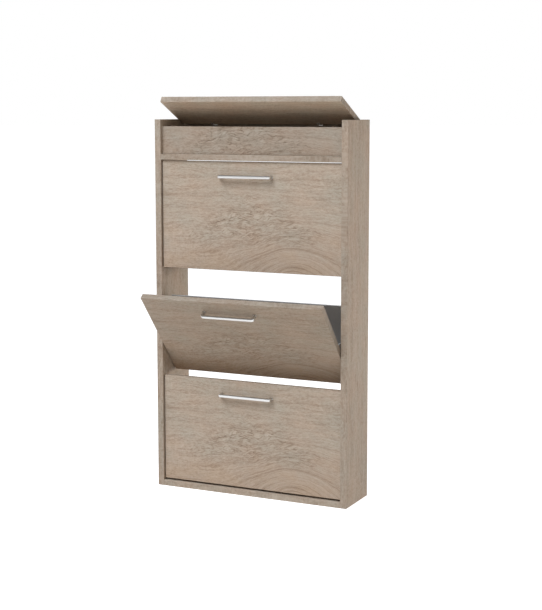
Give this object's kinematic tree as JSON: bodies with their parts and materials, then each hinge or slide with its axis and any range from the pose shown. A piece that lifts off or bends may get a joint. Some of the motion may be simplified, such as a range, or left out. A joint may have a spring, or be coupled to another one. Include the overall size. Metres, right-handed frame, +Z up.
{
  "type": "shoe cabinet",
  "caption": "Slim free-standing shoe cabinet: tilting flaps with trays and bow handles below a lidded top compartment.",
  "frame": {"origin": "on the floor, under the middle of the carcass", "axes": "+Z up, the front and the flaps towards -Y, +X to the right as seen from the front"},
  "size_m": [0.58, 0.2697, 1.0971],
  "materials": {
    "oak_laminate": "matt light oak decor with fine grain",
    "beech": "raw",
    "nickel": "satin nickel",
    "zinc": "bright zinc plated",
    "grey_plastic": "matt grey",
    "white_plastic": "natural nylon",
    "brown_felt": "pressed felt"
  },
  "bodies": {
    "carcass": {"side_left": "oak_laminate", "side_right": "oak_laminate", "bottom_panel": "oak_laminate", "compartment_floor": "oak_laminate", "fascia_panel": "oak_laminate", "back_rail": "oak_laminate", "rear_stretcher_lower": "oak_laminate", "rear_stretcher_upper": "oak_laminate", "dowels": "beech", "cam_bolts": "zinc", "cam_housings": "zinc", "pivot_bushes": "white_plastic", "stop_pins": "zinc", "lid_buffers": "brown_felt", "hinge_leaves_fixed": "nickel", "hinge_pins": "zinc", "hinge_screws_rail": "zinc"},
    "flap_lower_assembly": {"flap_lower": "oak_laminate", "handle_lower": "nickel", "handle_screws_lower": "zinc", "bracket_left_lower": "grey_plastic", "bracket_right_lower": "grey_plastic", "bracket_screws_lower": "zinc", "tray_floor_lower": "grey_plastic", "tray_back_lower": "grey_plastic", "pivot_pins_lower": "zinc"},
    "flap_middle_assembly": {"flap_middle": "oak_laminate", "handle_middle": "nickel", "handle_screws_middle": "zinc", "bracket_left_middle": "grey_plastic", "bracket_right_middle": "grey_plastic", "bracket_screws_middle": "zinc", "tray_floor_middle": "grey_plastic", "tray_back_middle": "grey_plastic", "pivot_pins_middle": "zinc"},
    "flap_upper_assembly": {"flap_upper": "oak_laminate", "handle_upper": "nickel", "handle_screws_upper": "zinc", "bracket_left_upper": "grey_plastic", "bracket_right_upper": "grey_plastic", "bracket_screws_upper": "zinc", "tray_floor_upper": "grey_plastic", "tray_back_upper": "grey_plastic", "pivot_pins_upper": "zinc"},
    "lid_assembly": {"lid_panel": "oak_laminate", "hinge_leaves_lid": "nickel", "hinge_screws_lid": "zinc"}
  },
  "joints": [
    {"name": "flap_lower_tilt", "type": "hinge", "parent": "carcass", "child": "flap_lower_assembly", "pos_m": [0, -0.038, 0.1108], "axis": [1, 0, 0], "range_deg": [0, 40]},
    {"name": "flap_middle_tilt", "type": "hinge", "parent": "carcass", "child": "flap_middle_assembly", "pos_m": [0, -0.038, 0.4125], "axis": [1, 0, 0], "range_deg": [-40, 0]},
    {"name": "flap_upper_tilt", "type": "hinge", "parent": "carcass", "child": "flap_upper_assembly", "pos_m": [0, -0.038, 0.7142], "axis": [1, 0, 0], "range_deg": [0, 40]},
    {"name": "lid_lift", "type": "hinge", "parent": "carcass", "child": "lid_assembly", "pos_m": [0, 0.05735, 1.0378], "axis": [-1, 0, 0], "range_deg": [-26, 69]}
  ]
}
